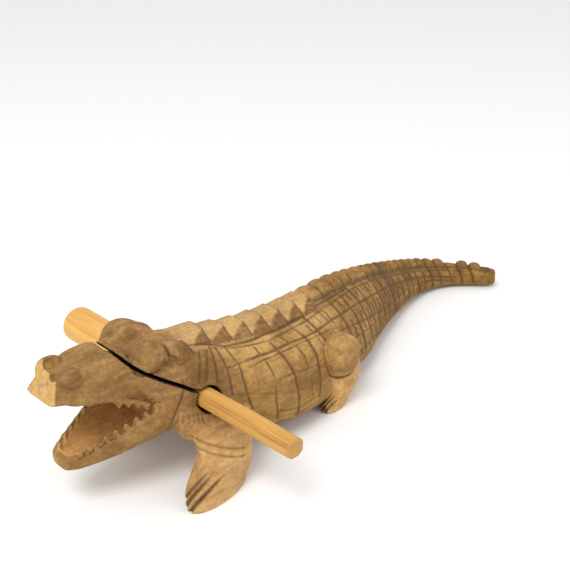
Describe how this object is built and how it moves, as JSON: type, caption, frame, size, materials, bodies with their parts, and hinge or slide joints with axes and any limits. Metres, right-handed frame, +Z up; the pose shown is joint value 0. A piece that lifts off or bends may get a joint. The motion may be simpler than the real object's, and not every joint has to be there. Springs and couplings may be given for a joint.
{
  "type": "crocodile rasp with beater",
  "caption": "Crocodile carved from one block of wood as a scraped percussion toy, with a toothed back, open jaws and a loose club-ended beater kept in a hole through its cheeks.",
  "frame": {"origin": "On the resting plane under the soles of the feet, midway along and across the bounding box of the crocodile and its beater at rest", "axes": "+X runs from the snout towards the tail, +Z up, and the beater lies nearly along +Y with its club end at +Y"},
  "size_m": [0.3948, 0.1728, 0.0806],
  "materials": {
    "carved_wood": "bare knife-cut wood, dry and matt, with darkened grooves",
    "pale_wood": "smooth pale wood with a slight sheen"
  },
  "bodies": {
    "crocodile": {"carved_crocodile": "carved_wood"},
    "stick": {"beater": "pale_wood"}
  },
  "joints": [
    {"name": "beater_slide", "type": "slide", "parent": "crocodile", "child": "stick", "axis": [-0.0523, 0.9978, 0.0401], "range_m": [-0.005, 0.15]}
  ]
}
